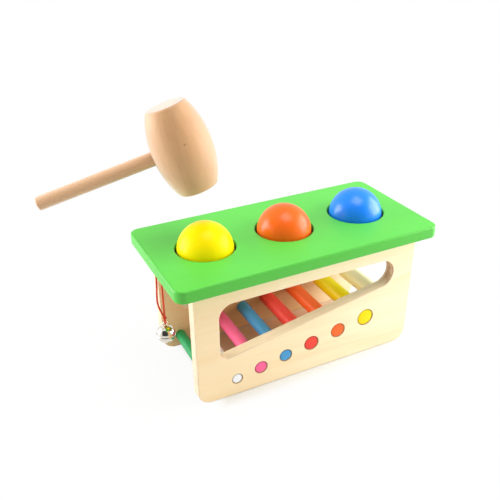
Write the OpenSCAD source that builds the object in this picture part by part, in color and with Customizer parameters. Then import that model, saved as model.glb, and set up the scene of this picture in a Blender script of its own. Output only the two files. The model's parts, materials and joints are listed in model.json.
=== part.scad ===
// Pounding bench: a painted board on two side panels, three balls that are knocked through
// the board on to a sloping track of coloured rods, a jingle bell at the low end and a mallet.
// X runs along the bench to its high end, Y to the back, Z up.
// The origin is on the ground, under the middle of the bench.

/* [Top board] */
// Thickness of the board
board_t = 10; // [8:0.5:14]
// Overhang past each end of the side panels
end_overhang = 15; // [10:0.5:20]
// Overhang past the outer face of each side panel
side_overhang = 10; // [4:0.5:14]
// Radius of the board's corners, seen from above
board_corner_r = 8; // [4:0.5:12]
// Radius of the eased edges round the board
board_ease = 1.25; // [0.5:0.25:3]

/* [Balls and holes] */
// Diameter of a ball
ball_d = 45; // [40:0.5:48]
// Distance from one hole to the next
ball_pitch = 70; // [64:0.5:76]
// How far a ball's centre sits below the top of the board
ball_sink = 2; // [1:0.25:3]
// Gap between a ball and the wall of its hole
ball_gap = 1.5; // [1:0.1:2]
// Depth of the chamfer round the top of a hole
hole_chamfer = 0.8; // [0.2:0.1:1.5]
// Thickness of the rubber ring that grips a ball
ring_section = 3; // [2.5:0.25:4]
// Gap between a ball and its rubber ring as the ball passes
ring_gap = 0.3; // [0.2:0.05:0.5]

/* [Side panels] */
// Length of a side panel
panel_l = 200; // [190:1:220]
// Height of a side panel, from the ground to the board
panel_h = 104; // [98:1:115]
// Thickness of a side panel
panel_t = 10; // [8:0.5:14]
// Clear width between the two side panels
inside_w = 72; // [64:1:90]
// Radius of a panel's lower corners
panel_corner_r = 12; // [6:0.5:18]
// Radius of the eased edges round a panel
panel_ease = 1.2; // [0.5:0.1:2]

/* [Window] */
// Distance from the ends of a panel to the ends of its window
window_margin = 20; // [16:0.5:26]
// Wood left above the window
window_head = 16.5; // [15:0.5:20]
// Height of the window's sill at the middle of the panel
sill_z = 50.4; // [47:0.1:54]
// Radius of the window's upper corner at the low end
window_upper_r = 12; // [6:0.5:16]
// Radius of the window's lower corner at the low end
window_lower_r = 6; // [3:0.5:9]

/* [Rods] */
// Slope of the rods and of the window's sill, in degrees
ramp_angle = 9.8; // [8:0.1:11]
// Height of the line of rods at the middle of the bench
rod_line_z = 26.9; // [25:0.1:30]
// Diameter of the thinnest pair of rods, at the low end
rod_d = 9; // [8:0.25:10]
// How much thicker each next pair of rods is
rod_d_step = 2; // [1:0.25:2.5]
// Place of the first rod that shows outside, along the bench
first_rod_x = -66.4; // [-69:0.1:-64]
// Distance from that rod to the next one
rod_pitch = 21.3; // [20:0.1:22]
// How much each distance from rod to rod grows towards the high end
rod_pitch_growth = 1.065; // [1.04:0.005:1.08]
// Distance of the lowest rod from the panel's low end
low_rod_inset = 16; // [12:0.5:18]
// Distance of the highest rod from the panel's high end
high_rod_inset = 19.5; // [14:0.5:22]
// Gap between a rod and the wall of its hole
rod_gap = 0.1; // [0.05:0.05:0.2]
// How far a rod's end lies below the outside of the panel
rod_recess = 0.3; // [0.2:0.1:1.5]
// Width of the chamfer round a rod's hole on the outside
rod_chamfer = 0.4; // [0.2:0.1:1]
// Width of the chamfer round the ends of a rod
rod_end_chamfer = 0.8; // [0.2:0.1:1.2]
// Wood left outside the blind holes of the end rods
blind_wall = 4; // [2:0.5:6]

/* [Dowels] */
// Diameter of the dowels between a panel and the board
dowel_d = 6; // [4:0.5:7]
// Length of a dowel inside the panel
dowel_in_panel = 11; // [8:0.5:12]
// Length of a dowel inside the board
dowel_in_board = 6; // [4:0.5:7]
// Distance from the middle dowel to the outer ones
dowel_pitch = 80; // [60:1:90]
// Gap round a dowel, and past its ends
dowel_gap = 0.1; // [0.05:0.05:0.2]

/* [Bell] */
// Diameter of the bell
bell_d = 15.5; // [12:0.5:18]
// Thickness of the bell's metal
bell_wall = 0.6; // [0.4:0.1:1]
// Distance of the bell's cord outside the end of the panels
bell_out = 7; // [5:0.5:8]
// Distance of the bell from the middle of the bench, to the back
bell_y = 2.5; // [-10:0.5:10]
// Thickness of the wire of the bell's eye
eye_wire = 1; // [0.8:0.1:1.2]
// Clear diameter of the bell's eye
eye_d = 2.8; // [2.6:0.1:3.4]
// Diameter of the pellet inside the bell
pellet_d = 5; // [3:0.25:6]
// Gap under the pellet
pellet_gap = 0.3; // [0.2:0.05:0.5]
// Width of the slots in the bell
slot_w = 1.4; // [0.8:0.1:1.8]
// How far the slots reach up round the bell, in degrees from its lowest point
slot_angle = 55; // [40:1:65]
// Diameter of the holes at the ends of the slots
slot_end_d = 2.6; // [1.8:0.1:3]

/* [Cord] */
// Diameter of the cord
cord_d = 1.6; // [1.2:0.1:2]
// Thickness of the cord where it is looped through the bell's eye
loop_d = 1.2; // [1:0.1:1.4]
// Inner diameter of that loop
loop_bore = 2.8; // [2.6:0.1:3.4]
// Diameter of the knot
knot_d = 3.4; // [3:0.1:4.4]
// Distance from the board down to the knot
cord_drop = 47; // [40:0.5:52]
// Distance between the two ends of the cord
cord_spread = 13; // [8:0.5:14]
// How far the slack back strand bows out, away from the bench
cord_bow = 3.7; // [2:0.1:5]
// Diameter of the holes for the cord's ends
cord_hole_d = 5; // [4:0.25:6]
// Depth of the holes for the cord's ends
cord_hole_depth = 6; // [4:0.5:7]
// How far the wooden plugs lie inside those holes
plug_recess = 1.35; // [1.2:0.05:2]

/* [Mallet] */
// Length of the mallet's head
head_l = 66.5; // [55:0.5:75]
// Diameter of the head at its middle
head_mid_d = 46; // [40:0.5:52]
// Diameter of the head at its striking faces
head_end_d = 30.5; // [26:0.5:36]
// Radius of the rim round each striking face
head_rim_r = 2; // [1:0.25:3]
// Diameter of the handle
handle_d = 11; // [9:0.25:14]
// Length of the handle outside the head
handle_reach = 92; // [70:1:140]
// Radius of the handle's rounded end
handle_end_r = 1.5; // [0.5:0.25:3]
// Depth of the handle's hole past the middle of the head
handle_socket = 12; // [6:0.5:16]
// Gap between the handle and the wall of its hole
handle_gap = 0.05; // [0.05:0.05:0.1]
// Middle of the mallet's head, along the bench
mallet_x = -78; // [-90:1:-60]
// Middle of the mallet's head, to the back
mallet_y = 16; // [-20:1:30]
// Height of the head's middle above the board
mallet_lift = 77; // [75:1:95]
// Tilt of the mallet about its handle
mallet_roll = -5.5; // [-15:0.5:15]
// Lean of the head along its handle
mallet_lean = -18.5; // [-25:0.5:0]
// Direction of the handle, seen from above
mallet_turn = -17.5; // [-40:0.5:20]

/* [Hidden] */

$fn = 64;
// Facets of the eased corners that are hulled together
ease_fn = 32;
// Length that a cut runs past the face it cuts
cut = 1;

// Board and panels
board_l = panel_l + 2 * end_overhang;
board_w = inside_w + 2 * panel_t + 2 * side_overhang;
board_top = panel_h + board_t;
board_corner_x = board_l / 2 - board_corner_r;
board_corner_y = board_w / 2 - board_corner_r;
panel_corner_x = panel_l / 2 - panel_corner_r;
panel_out_y = inside_w / 2 + panel_t;
panel_mid_y = inside_w / 2 + panel_t / 2;

// Balls, from the low end to the high end
ball_r = ball_d / 2;
ball_z = board_top - ball_sink;
hole_r = ball_r + ball_gap;
ring_r = ball_r + ring_gap + ring_section / 2;
ring_z = panel_h + board_t / 2;
groove_gap = 0.1;

// Rods, counted from the low end: all but the two end ones show outside, in pairs of one thickness
rod_count = 8;
last_rod = rod_count - 1;
function rod_dia(i) = rod_d + rod_d_step * floor(i / 2);
// Sum of the growing distances from the first rod that shows to the next ones
function grown(steps) = (pow(rod_pitch_growth, steps) - 1) / (rod_pitch_growth - 1);
function shown_rod_x(i) = first_rod_x + rod_pitch * grown(i - 1);
function rod_x(i) =
    i == 0 ? -panel_l / 2 + low_rod_inset :
    i == last_rod ? panel_l / 2 - high_rod_inset :
    shown_rod_x(i);
function rod_z(i) = rod_line_z + tan(ramp_angle) * rod_x(i);
function is_end_rod(i) = i == 0 || i == last_rod;

// Window: three rounded corners joined by tangent lines, in the plane of the panel
window_left = -panel_l / 2 + window_margin;
window_right = panel_l / 2 - window_margin;
window_top = panel_h - window_head;
function sill_at(x) = sill_z + tan(ramp_angle) * x;
// The high end is one full round that meets the head, the sill and the right limit
window_end_r = (window_top - sill_at(window_right)) / (1 + 1 / cos(ramp_angle) - tan(ramp_angle));
window_end = [window_right - window_end_r, window_top - window_end_r];
window_upper = [window_left + window_upper_r, window_top - window_upper_r];
window_lower_x = window_left + window_lower_r;
window_lower = [window_lower_x, sill_at(window_lower_x) + window_lower_r / cos(ramp_angle)];
sill_normal = [sin(ramp_angle), -cos(ramp_angle)];

// Bell and cord, from the board down
cord_x = -panel_l / 2 - bell_out;
// The strands bend where they leave their holes, a little inside the board
cord_bend = 0.6;
cord_top = panel_h + cord_bend;
knot_z = panel_h - cord_drop;
loop_r = (loop_bore + loop_d) / 2;
loop_z = knot_z - knot_d / 4 - loop_r;
eye_r = (eye_d + eye_wire) / 2;
// The loop hangs this far clear below the top of the eye
loop_gap = 0.3;
eye_z = loop_z - loop_bore / 2 + loop_gap - eye_d / 2;
bell_r = bell_d / 2;
// The foot of the eye is sunk this far into the bell's top
eye_sink = 0.6;
bell_z = eye_z - eye_r - eye_wire / 2 + eye_sink - bell_r;
seam_h = 0.9;
seam_out = 0.4;
plug_gap = 0.1;

// Route of the slack back strand, from its own top into the knot, as shares of the bow, of the
// spread and of the fall. The taut front strand falls straight, in the same steps
strand_fall = cord_top - knot_z;
strand_shares = [
    [0, 0, 0], [0.02, 0.02, 0.07], [0.08, 0.08, 0.14], [0.17, 0.16, 0.21], [0.26, 0.24, 0.28],
    [0.36, 0.32, 0.35], [0.48, 0.4, 0.42], [0.62, 0.48, 0.49], [0.78, 0.56, 0.56], [0.92, 0.64, 0.63],
    [1, 0.72, 0.7], [0.94, 0.8, 0.77], [0.72, 0.88, 0.84], [0.38, 0.95, 0.92], [0, 1, 1]
];
front_route = [for (share = strand_shares) [0, 0, -strand_fall * share.z]];
back_route = [
    for (share = strand_shares)
        [-cord_bow * share.x, -cord_spread * share.y, -strand_fall * share.z]
];

// Mallet
head_sag = (head_mid_d - head_end_d) / 2;
head_arc_r = (pow(head_l / 2, 2) + pow(head_sag, 2)) / (2 * head_sag);
head_arc_x = head_mid_d / 2 - head_arc_r;
rim_z = head_l / 2 - head_rim_r;
rim_x = head_arc_x + sqrt(pow(head_arc_r - head_rim_r, 2) - pow(rim_z, 2));
rim_meet_z = rim_z * head_arc_r / (head_arc_r - head_rim_r);

// A disc with eased rims, standing on Z
module eased_disc(r, t, ease) {
    rotate_extrude($fn = ease_fn)
        union() {
            square([r - ease, t]);
            translate([0, ease])
                square([r, t - 2 * ease]);
            for (y = [ease, t - ease])
                translate([r - ease, y])
                    circle(r = ease, $fn = ease_fn);
        }
}

// Plain round hole or rod along Y, centred on Y
module along_y(r, length) {
    rotate([90, 0, 0])
        cylinder(r = r, h = length, center = true);
}

// Board with its three ball holes, the rings' grooves and the holes in its underside
module top_board() {
    color("#3fbf35")
        difference() {
            hull()
                for (x = [-1, 1], y = [-1, 1])
                    translate([x * board_corner_x, y * board_corner_y, panel_h])
                        eased_disc(board_corner_r, board_t, board_ease);
            for (i = [-1, 0, 1])
                translate([i * ball_pitch, 0, 0])
                    ball_hole();
            for (side = [-1, 1])
                dowel_row(side, dowel_d / 2 + dowel_gap, dowel_gap);
            for (y = [0, cord_spread])
                translate([cord_x, bell_y + y, panel_h - cut])
                    cylinder(d = cord_hole_d, h = cord_hole_depth + cut);
        }
}

module ball_hole() {
    translate([0, 0, panel_h - cut])
        cylinder(r = hole_r, h = board_t + 2 * cut);
    translate([0, 0, board_top - hole_chamfer])
        cylinder(r1 = hole_r, r2 = hole_r + hole_chamfer + cut, h = hole_chamfer + cut);
    translate([0, 0, ring_z - ring_section / 2 - groove_gap])
        cylinder(r = ring_r + ring_section / 2 + groove_gap, h = ring_section + 2 * groove_gap);
}

// Outline of the window, as the hull of its three rounds
module window_outline() {
    polygon([
        [window_left, window_upper.y],
        [window_upper.x, window_top],
        [window_end.x, window_top],
        window_end + window_end_r * sill_normal,
        window_lower + window_lower_r * sill_normal,
        [window_left, window_lower.y]
    ]);
    translate(window_upper)
        circle(r = window_upper_r);
    translate(window_lower)
        circle(r = window_lower_r);
    translate(window_end)
        circle(r = window_end_r);
}

// Side panel in its place; side is -1 for the front and 1 for the back
module side_panel(side) {
    difference() {
        hull() {
            for (x = [-1, 1]) {
                translate([x * panel_corner_x, side * panel_mid_y + panel_t / 2, panel_corner_r])
                    rotate([90, 0, 0])
                        eased_disc(panel_corner_r, panel_t, panel_ease);
                translate([x * (panel_l / 2 - panel_ease), side * panel_mid_y, panel_h - panel_ease])
                    for (y = [-1, 1])
                        translate([0, y * (panel_t / 2 - panel_ease), 0])
                            cylinder(r = panel_ease, h = panel_ease, $fn = ease_fn);
            }
        }
        translate([0, side * panel_mid_y + panel_t / 2 + cut, 0])
            rotate([90, 0, 0])
                linear_extrude(panel_t + 2 * cut)
                    window_outline();
        for (i = [0 : last_rod])
            rod_hole(i, side);
        dowel_row(side, dowel_d / 2 + dowel_gap, dowel_gap);
    }
}

// Hole of one rod: blind for the two end rods, through and chamfered outside for the others
module rod_hole(i, side) {
    r = rod_dia(i) / 2 + rod_gap;
    mouth = side * panel_out_y;
    translate([rod_x(i), 0, rod_z(i)])
        if (is_end_rod(i)) {
            depth = panel_t - blind_wall;
            translate([0, side * (inside_w / 2 + depth / 2 - cut / 2), 0])
                along_y(r, depth + cut);
        } else {
            translate([0, side * panel_mid_y, 0])
                along_y(r, panel_t + 2 * cut);
            translate([0, mouth, 0])
                rotate([side * 90, 0, 0])
                    translate([0, 0, -cut])
                        cylinder(r1 = r + rod_chamfer + cut, r2 = r, h = rod_chamfer + cut);
        }
}

module front_panel() {
    color("#f3dcae")
        side_panel(-1);
}

module back_panel() {
    color("#f3dcae")
        side_panel(1);
}

// One rod of the track, counted from the low end, with chamfered ends
module track_rod(i) {
    r = rod_dia(i) / 2;
    end_y = is_end_rod(i) ? inside_w / 2 + panel_t - blind_wall - rod_gap : panel_out_y - rod_recess;
    translate([rod_x(i), 0, rod_z(i)])
        rotate([90, 0, 0])
            rotate_extrude()
                polygon([
                    [0, -end_y],
                    [r - rod_end_chamfer, -end_y],
                    [r, rod_end_chamfer - end_y],
                    [r, end_y - rod_end_chamfer],
                    [r - rod_end_chamfer, end_y],
                    [0, end_y]
                ]);
}

module green_rod() {
    color("#1f8f4e")
        track_rod(0);
}

module white_rod() {
    color("#fafafa")
        track_rod(1);
}

module pink_rod() {
    color("#f4638f")
        track_rod(2);
}

module blue_rod() {
    color("#3f86c4")
        track_rod(3);
}

module red_rod() {
    color("#e5352c")
        track_rod(4);
}

module orange_rod() {
    color("#f46a2c")
        track_rod(5);
}

module yellow_rod() {
    color("#f2d413")
        track_rod(6);
}

module cream_rod() {
    color("#efe6c4")
        track_rod(7);
}

// One ball in its hole; i is -1, 0 or 1 from the low end
module ball(i) {
    translate([i * ball_pitch, 0, ball_z])
        sphere(r = ball_r);
}

module yellow_ball() {
    color("#fbd90a")
        ball(-1);
}

module orange_ball() {
    color("#f4591c")
        ball(0);
}

module blue_ball() {
    color("#1c6fe0")
        ball(1);
}

// Rubber ring in the groove of one hole
module ball_ring(i) {
    color("#2b2b2b")
        translate([i * ball_pitch, 0, ring_z])
            rotate_extrude()
                translate([ring_r, 0])
                    circle(d = ring_section, $fn = 32);
}

module yellow_ball_ring() {
    ball_ring(-1);
}

module orange_ball_ring() {
    ball_ring(0);
}

module blue_ball_ring() {
    ball_ring(1);
}

// Row of dowels, or of their holes, between a panel and the board
module dowel_row(side, r, end_gap) {
    for (i = [-1, 0, 1])
        translate([i * dowel_pitch, side * panel_mid_y, panel_h - dowel_in_panel - end_gap])
            cylinder(r = r, h = dowel_in_panel + dowel_in_board + 2 * end_gap);
}

module front_dowels() {
    color("#d9b27c")
        dowel_row(-1, dowel_d / 2, 0);
}

module back_dowels() {
    color("#d9b27c")
        dowel_row(1, dowel_d / 2, 0);
}

// Wooden plugs that wedge the cord's ends in the board
module cord_plugs() {
    color("#d9b27c")
        for (y = [0, cord_spread])
            translate([cord_x, bell_y + y, panel_h + plug_recess])
                cylinder(d = cord_hole_d - 2 * plug_gap, h = cord_hole_depth - plug_recess);
}

// Unit vector along v
function unit(v) = v / norm(v);

// Unit direction of a route at its point k
function route_dir(route, k) = unit(route[min(k + 1, len(route) - 1)] - route[max(k - 1, 0)]);

// Tube along a route that starts at top_y, with eight sides; a route is nowhere parallel to X
module strand(top_y, route) {
    sides = 8;
    rings = len(route);
    top = [cord_x, top_y, cord_top];
    points = [
        for (k = [0 : rings - 1], s = [0 : sides - 1])
            let (
                dir = route_dir(route, k),
                side = unit(cross([1, 0, 0], dir)),
                turn = s * 360 / sides
            )
            top + route[k] + cord_d / 2 * (cos(turn) * cross(dir, side) + sin(turn) * side)
    ];
    walls = [
        for (k = [0 : rings - 2], s = [0 : sides - 1])
            let (
                a = k * sides + s,
                b = k * sides + (s + 1) % sides
            )
            each [[a, b, a + sides], [b, b + sides, a + sides]]
    ];
    first_end = [for (s = [1 : sides - 2]) [0, s + 1, s]];
    last_ring = (rings - 1) * sides;
    last_end = [for (s = [1 : sides - 2]) [last_ring, last_ring + s, last_ring + s + 1]];
    polyhedron(points, concat(walls, first_end, last_end));
}

module cord_strand_front() {
    color("#d8321f")
        strand(bell_y, front_route);
}

module cord_strand_back() {
    color("#d8321f")
        strand(bell_y + cord_spread, back_route);
}

// Knot above the bell, with the loop that goes through the bell's eye
module cord_knot() {
    color("#d8321f")
        union() {
            translate([cord_x, bell_y, knot_z])
                sphere(d = knot_d, $fn = 32);
            translate([cord_x, bell_y, loop_z])
                rotate([0, 90, 0])
                    rotate_extrude($fn = 48)
                        translate([loop_r, 0])
                            circle(d = loop_d, $fn = 24);
        }
}

// Half of the bell's thin shell; up is 1 for the upper half and -1 for the lower
module bell_half(up) {
    intersection() {
        difference() {
            union() {
                sphere(r = bell_r);
                cylinder(r = bell_r + seam_out, h = seam_h, center = true);
            }
            sphere(r = bell_r - bell_wall);
        }
        translate([0, 0, up * bell_d])
            cube(2 * bell_d, center = true);
    }
}

// Upper half of the bell with its wire eye
module bell_cap() {
    color("#d9d9d6")
        translate([cord_x, bell_y, 0])
            union() {
                translate([0, 0, bell_z])
                    bell_half(1);
                translate([0, 0, eye_z])
                    rotate([90, 0, 0])
                        rotate_extrude($fn = 48)
                            translate([eye_r, 0])
                                circle(d = eye_wire, $fn = 24);
            }
}

// Lower half of the bell with two crossed slots and a round hole at each end of them
module bell_cup() {
    color("#d9d9d6")
        translate([cord_x, bell_y, bell_z])
            difference() {
                bell_half(-1);
                for (turn = [0, 90])
                    rotate([0, 0, turn])
                        bell_slot();
            }
}

// One slot over the bell's lowest point, with its two round ends
module bell_slot() {
    slot_l = 2 * bell_r * sin(slot_angle);
    slot_top = bell_r * cos(slot_angle);
    translate([-slot_l / 2, -slot_w / 2, -bell_r - cut])
        cube([slot_l, slot_w, bell_r + cut - slot_top]);
    for (x = [-1, 1])
        rotate([0, x * slot_angle, 0])
            translate([0, 0, -bell_r])
                cylinder(d = slot_end_d, h = 2 * cut, center = true);
}

module bell_pellet() {
    color("#8a8a8a")
        translate([cord_x, bell_y, bell_z - bell_r + bell_wall + pellet_gap + pellet_d / 2])
            sphere(d = pellet_d, $fn = 32);
}

// Place and direction of the mallet: its head stands on Z and its handle points along -X
module at_mallet() {
    translate([mallet_x, mallet_y, board_top + mallet_lift])
        rotate([mallet_roll, mallet_lean, mallet_turn])
            children();
}

// Half outline of the barrel-shaped head, with round rims
module head_outline() {
    intersection() {
        translate([head_arc_x, 0])
            circle(r = head_arc_r, $fn = 256);
        translate([0, -rim_meet_z])
            square([head_mid_d, 2 * rim_meet_z]);
    }
    translate([0, -head_l / 2])
        square([rim_x, head_l]);
    for (z = [-rim_z, rim_z])
        translate([rim_x, z])
            circle(r = head_rim_r);
}

module mallet_head() {
    color("#d2a273")
        at_mallet()
            difference() {
                rotate_extrude()
                    intersection() {
                        head_outline();
                        translate([0, -head_l])
                            square([head_mid_d, 2 * head_l]);
                    }
                translate([handle_socket + handle_gap, 0, 0])
                    rotate([0, -90, 0])
                        cylinder(r = handle_d / 2 + handle_gap, h = head_mid_d);
            }
}

// Straight dowel with one rounded end
module mallet_handle() {
    handle_l = handle_socket + head_mid_d / 2 + handle_reach;
    color("#d2a273")
        at_mallet()
            translate([handle_socket, 0, 0])
                rotate([0, -90, 0])
                    rotate_extrude()
                        union() {
                            square([handle_d / 2, handle_l - handle_end_r]);
                            square([handle_d / 2 - handle_end_r, handle_l]);
                            translate([handle_d / 2 - handle_end_r, handle_l - handle_end_r])
                                circle(r = handle_end_r, $fn = 32);
                        }
}

top_board();
front_panel();
back_panel();
green_rod();
white_rod();
pink_rod();
blue_rod();
red_rod();
orange_rod();
yellow_rod();
cream_rod();
yellow_ball();
orange_ball();
blue_ball();
yellow_ball_ring();
orange_ball_ring();
blue_ball_ring();
front_dowels();
back_dowels();
cord_plugs();
cord_strand_front();
cord_strand_back();
cord_knot();
bell_cap();
bell_cup();
bell_pellet();
mallet_head();
mallet_handle();
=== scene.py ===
"""Pounding bench: a green board with three balls, a track of coloured rods between two
windowed side panels, a jingle bell on a cord and a mallet, with the studio they stand in."""

import json
import math

import bmesh
import bpy
import numpy as np
from mathutils import Euler, Matrix, Vector
from mathutils.geometry import delaunay_2d_cdt


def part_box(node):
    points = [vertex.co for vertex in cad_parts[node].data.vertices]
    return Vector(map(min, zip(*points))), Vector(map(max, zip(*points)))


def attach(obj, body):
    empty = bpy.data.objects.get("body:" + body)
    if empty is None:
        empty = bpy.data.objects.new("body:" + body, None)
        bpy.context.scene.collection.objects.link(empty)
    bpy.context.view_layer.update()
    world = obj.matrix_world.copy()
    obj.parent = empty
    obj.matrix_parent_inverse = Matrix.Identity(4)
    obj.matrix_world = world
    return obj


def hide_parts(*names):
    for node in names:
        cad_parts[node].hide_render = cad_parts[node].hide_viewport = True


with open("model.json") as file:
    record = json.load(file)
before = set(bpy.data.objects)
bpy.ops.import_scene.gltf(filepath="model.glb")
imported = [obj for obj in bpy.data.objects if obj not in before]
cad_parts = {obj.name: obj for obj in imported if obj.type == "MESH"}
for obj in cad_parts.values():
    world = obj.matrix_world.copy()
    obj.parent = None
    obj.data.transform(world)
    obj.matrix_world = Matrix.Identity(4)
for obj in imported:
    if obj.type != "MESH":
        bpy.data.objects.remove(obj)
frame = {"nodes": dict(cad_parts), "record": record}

bl_info = {
    "name": "Pounding bench",
    "version": (1, 0, 0),
    "blender": (4, 5, 0),
    "location": "3D View > Sidebar > Bench",
    "description": "Builds a wooden pounding bench and its studio around the packed frame",
    "category": "Object",
}

MM = 0.001
WHITE = (1, 1, 1)
BALLS = ("yellow", "orange", "blue")
RODS = ("green", "white", "pink", "blue", "red", "orange", "yellow", "cream")
BLIND_RODS = ("green", "cream")
# The body that each CAD node moves with
BODIES = {node: body for body, nodes in frame["record"]["behaviour"]["bodies"].items() for node in nodes}
# Route of the slack back strand into the knot, as shares of its bow, of the spread and of its fall
STRAND_SHARES = (
    (0, 0, 0), (0.02, 0.02, 0.07), (0.08, 0.08, 0.14), (0.17, 0.16, 0.21), (0.26, 0.24, 0.28),
    (0.36, 0.32, 0.35), (0.48, 0.4, 0.42), (0.62, 0.48, 0.49), (0.78, 0.56, 0.56), (0.92, 0.64, 0.63),
    (1, 0.72, 0.7), (0.94, 0.8, 0.77), (0.72, 0.88, 0.84), (0.38, 0.95, 0.92), (0, 1, 1),
)
# Each lamp's direction from the bench, its distance and width in metres, and its power in watts
LAMPS = {
    "lamp_left": ((-0.84, 0.45, 0.22), 0.9, 0.6, 8.8),
    "lamp_right": ((0.92, -0.3, 0.26), 0.6, 0.5, 5.0),
    "lamp_top": ((0.05, -0.16, 1.0), 0.9, 0.5, 3.6),
}


def linear(code):
    """Linear colour of a hex code as it is seen on a screen."""
    seen = np.array([int(code[i:i + 2], 16) for i in (1, 3, 5)]) / 255
    low = seen / 12.92
    high = ((seen + 0.055) / 1.055) ** 2.4
    return tuple(np.where(seen <= 0.04045, low, high).tolist())


def length(name, description, millimetres):
    """Length property with its default in millimetres."""
    return bpy.props.FloatProperty(
        name=name, description=description, default=millimetres * MM, unit="LENGTH", precision=5)


def colour(name, description, code):
    """Colour property with its default as a hex code."""
    return bpy.props.FloatVectorProperty(
        name=name, description=description, default=linear(code), size=3, subtype="COLOR", min=0, max=1)


def angle(name, description, degrees):
    """Angle property with its default in degrees."""
    return bpy.props.FloatProperty(
        name=name, description=description, default=math.radians(degrees), subtype="ANGLE")


def strength(name, description, level):
    """Plain number property that doesn't go below zero."""
    return bpy.props.FloatProperty(name=name, description=description, default=level, min=0)


class BoardLook(bpy.types.PropertyGroup):
    """Edges, holes and paint of the top board, and the rubber in its holes."""

    corner: length("Corner", "Radius of the corners seen from above", 8)
    ease: length("Ease", "Radius of the eased edges", 1.25)
    hole_gap: length("Hole gap", "Gap between a ball and the wall of its hole", 1.5)
    hole_ease: length("Hole ease", "Radius of the eased edge round a hole", 0.8)
    groove_gap: length("Groove gap", "Room round the rubber ring in its groove", 0.1)
    cord_hole: length("Cord hole", "Diameter of the holes for the cord's ends", 5)
    cord_hole_depth: length("Cord hole depth", "Depth of the holes for the cord's ends", 6)
    paint: colour("Paint", "Colour of the board", "#5DD048")
    shine: strength("Shine", "How strongly the paint reflects", 0.35)
    # Painted shade: the board's edges and hole walls take a darker copy of the paint, for the shade on faces
    # turned away from the light
    edge_painted_shade: strength("Edge shade", "How bright the paint is on the edges, where it soaks in", 0.81)
    rubber: colour("Rubber", "Colour of the rings in the holes", "#161616")
    bloom: colour("Bloom", "Colour of the dusty bloom on the rings", "#2A2A2A")


class PanelLook(bpy.types.PropertyGroup):
    """Outline, window and wood of the side panels and their dowels."""

    corner: length("Corner", "Radius of the lower corners", 12)
    ease: length("Ease", "Radius of the eased edges", 1.2)
    window_margin: length("Window margin", "Wood beyond the ends of the window", 20)
    window_head: length("Window head", "Wood above the window", 16.5)
    sill: length("Sill", "Height of the sill at the middle of the panel", 50.4)
    slope: angle("Slope", "Slope of the sill", 9.8)
    upper_corner: length("Upper corner", "Radius of the window's upper corner at the low end", 12)
    lower_corner: length("Lower corner", "Radius of the window's lower corner at the low end", 6)
    window_ease: length("Window ease", "Radius of the eased edges of the window", 0.7)
    rod_gap: length("Rod gap", "Gap between a rod and the wall of its hole", 0.1)
    rod_chamfer: length("Rod chamfer", "Chamfer round a rod's hole on the outside", 0.4)
    wood: colour("Wood", "Colour of the pale wood", "#FFEEC8")
    grain: colour("Grain", "Colour of the grain lines in the wood", "#F2CB92")
    # Painted shade: the three settings below draw the wood redder and darker towards the low end, where the
    # light is weaker
    painted_shade_from: length("Warm from", "Where along the panels the wood begins to be redder", 60)
    painted_shade_to: length("Warm to", "Where along the panels the wood is reddest", -100)
    painted_shade_most: strength("Warm", "How red the wood is at most", 0.4)
    # Painted shade and bounced light: the panels' inner faces are multiplied by this colour, most of all
    # over the stretch set below
    inner: colour("Inner", "Colour of the bare faces deep inside the bench", "#E6C5AA")
    deep_x: length("Deep X", "Middle of the dullest stretch of the inside", -10)
    deep: length("Deep", "How far the dullest stretch reaches from its middle", 40)
    pale: length("Pale", "How far from that middle the inside is as pale as the outside", 110)
    routed: colour("Routed", "Colour of the routed wall of the window", "#FFE4C4")
    # Painted shade: the window's wall is drawn in this darker colour, in streaks, where it faces along the
    # bench at the window's ends
    end_shade: colour("Scorched", "Colour of that wall where it cuts across the grain", "#A67E54")
    end_grain: colour("End grain", "Colour of the wood where the grain is cut across", "#E0C4AE")
    drilled: colour("Drilled", "Colour of the rough walls of the drilled holes", "#D2AC80")
    dowel: colour("Dowel", "Colour of the beech of the dowels and plugs", "#E0B98A")
    dowel_fleck: colour("Dowel fleck", "Colour of the flecks in that beech", "#B98552")


class RodLook(bpy.types.PropertyGroup):
    """Paint of the eight rods of the track."""

    end_round: length("End round", "Radius round the ends of a rod", 0.8)
    # Painted shade: the rounded rim round each rod's end takes a darker copy of its paint, for the shade in
    # the gap of its hole
    rim_shade: strength("Rim shade", "How bright the dull rim round a rod's end is", 0.6)
    shine: strength("Shine", "How strongly the paint of the rods reflects", 0.2)
    green: colour("Green", "Colour of the lowest rod", "#2E9A5C")
    white: colour("White", "Colour of the second rod", "#F6F6F8")
    pink: colour("Pink", "Colour of the third rod", "#FF6A9A")
    blue: colour("Blue", "Colour of the fourth rod", "#4C9BCF")
    red: colour("Red", "Colour of the fifth rod", "#F4493B")
    orange: colour("Orange", "Colour of the sixth rod", "#FF6C2C")
    yellow: colour("Yellow", "Colour of the seventh rod", "#F6DC00")
    cream: colour("Cream", "Colour of the highest rod", "#EFE2B4")


class BallLook(bpy.types.PropertyGroup):
    """Lacquer of the three balls."""

    yellow: colour("Yellow", "Colour of the ball at the low end", "#FFE400")
    orange: colour("Orange", "Colour of the ball in the middle", "#FF6A0E")
    blue: colour("Blue", "Colour of the ball at the high end", "#0E84FF")
    yellow_shine: strength("Yellow shine", "How strongly the yellow ball reflects", 0.1)
    orange_shine: strength("Orange shine", "How strongly the orange ball reflects", 0.36)
    blue_shine: strength("Blue shine", "How strongly the blue ball reflects", 0.5)


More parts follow.
